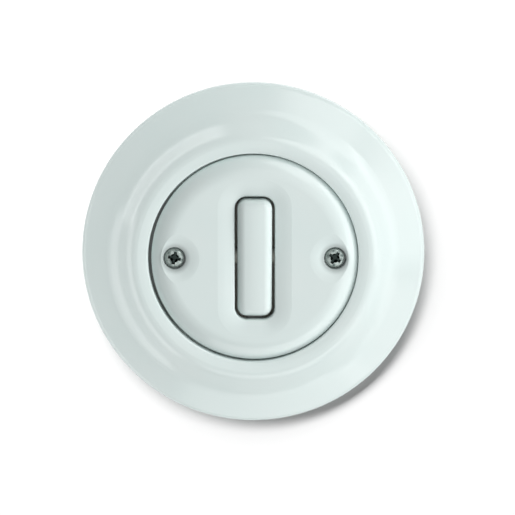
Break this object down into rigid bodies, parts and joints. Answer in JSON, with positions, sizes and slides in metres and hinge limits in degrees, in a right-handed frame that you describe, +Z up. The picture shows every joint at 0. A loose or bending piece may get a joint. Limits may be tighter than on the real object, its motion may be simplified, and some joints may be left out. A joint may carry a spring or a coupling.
{
  "type": "pushbutton switch",
  "caption": "Round flush-mounted pushbutton switch: glazed porcelain ring and centre plate, a narrow upright key that rocks and springs back, and a contact insert behind.",
  "frame": {"origin": "centre of the box screw pattern, on the wall plane", "axes": "+Z up the wall, -Y out of the wall into the room, +X to the right as seen from the room"},
  "size_m": [0.1, 0.0371, 0.1],
  "materials": {
    "porcelain": "smooth clear glaze over white porcelain",
    "zinc_plate": "pressed sheet steel, zinc plated",
    "screw_steel": "bright plated",
    "brass": "drawn and turned, bare",
    "spring_steel": "drawn, bare",
    "contact_silver": "silver alloy, satin",
    "dark_moulding": "moulded thermoset, satin",
    "pale_moulding": "moulded thermoplastic, satin",
    "lever_moulding": "moulded thermoplastic, satin",
    "rivet_steel": "zinc plated"
  },
  "bodies": {
    "base": {"cover_frame": "porcelain", "centre_plate": "porcelain", "plate_screws": "screw_steel", "support_plate": "zinc_plate", "threaded_bushes": "brass", "bearing_frame": "pale_moulding", "pivot_pin": "spring_steel", "housing": "dark_moulding", "terminal_cover": "dark_moulding", "tie_rivets": "rivet_steel", "contact_strip_left": "brass", "contact_strip_right": "brass", "fixed_contacts": "contact_silver", "clamp_spring_left": "spring_steel", "clamp_spring_right": "spring_steel", "return_spring": "spring_steel"},
    "rocker": {"rocker_key": "porcelain", "rocker_cradle": "pale_moulding"},
    "plunger": {"plunger": "pale_moulding", "contact_bridge": "brass", "bridge_contacts": "contact_silver", "contact_spring": "spring_steel", "retaining_ring": "spring_steel"},
    "left_lever": {"release_lever_left": "lever_moulding"},
    "right_lever": {"release_lever_right": "lever_moulding"}
  },
  "joints": [
    {"name": "key_rock", "type": "hinge", "parent": "base", "child": "rocker", "pos_m": [0, -0.006, 0], "axis": [-1, 0, 0], "range_deg": [0, 8], "stiffness_Nm_per_rad": 0.2},
    {"name": "plunger_slide", "type": "slide", "parent": "base", "child": "plunger", "axis": [0, 1, 0], "range_m": [0, 0.00126], "deforming": ["return_spring"]},
    {"name": "left_release", "type": "slide", "parent": "base", "child": "left_lever", "axis": [0, -1, 0], "range_m": [0, 0.001], "stiffness_N_per_m": 1500, "deforming": ["clamp_spring_left"]},
    {"name": "right_release", "type": "slide", "parent": "base", "child": "right_lever", "axis": [0, -1, 0], "range_m": [0, 0.001], "stiffness_N_per_m": 1500, "deforming": ["clamp_spring_right"]}
  ],
  "couplings": [
    {"joint": "key_rock", "follows": "plunger_slide", "rad_per_m": 111.2}
  ]
}
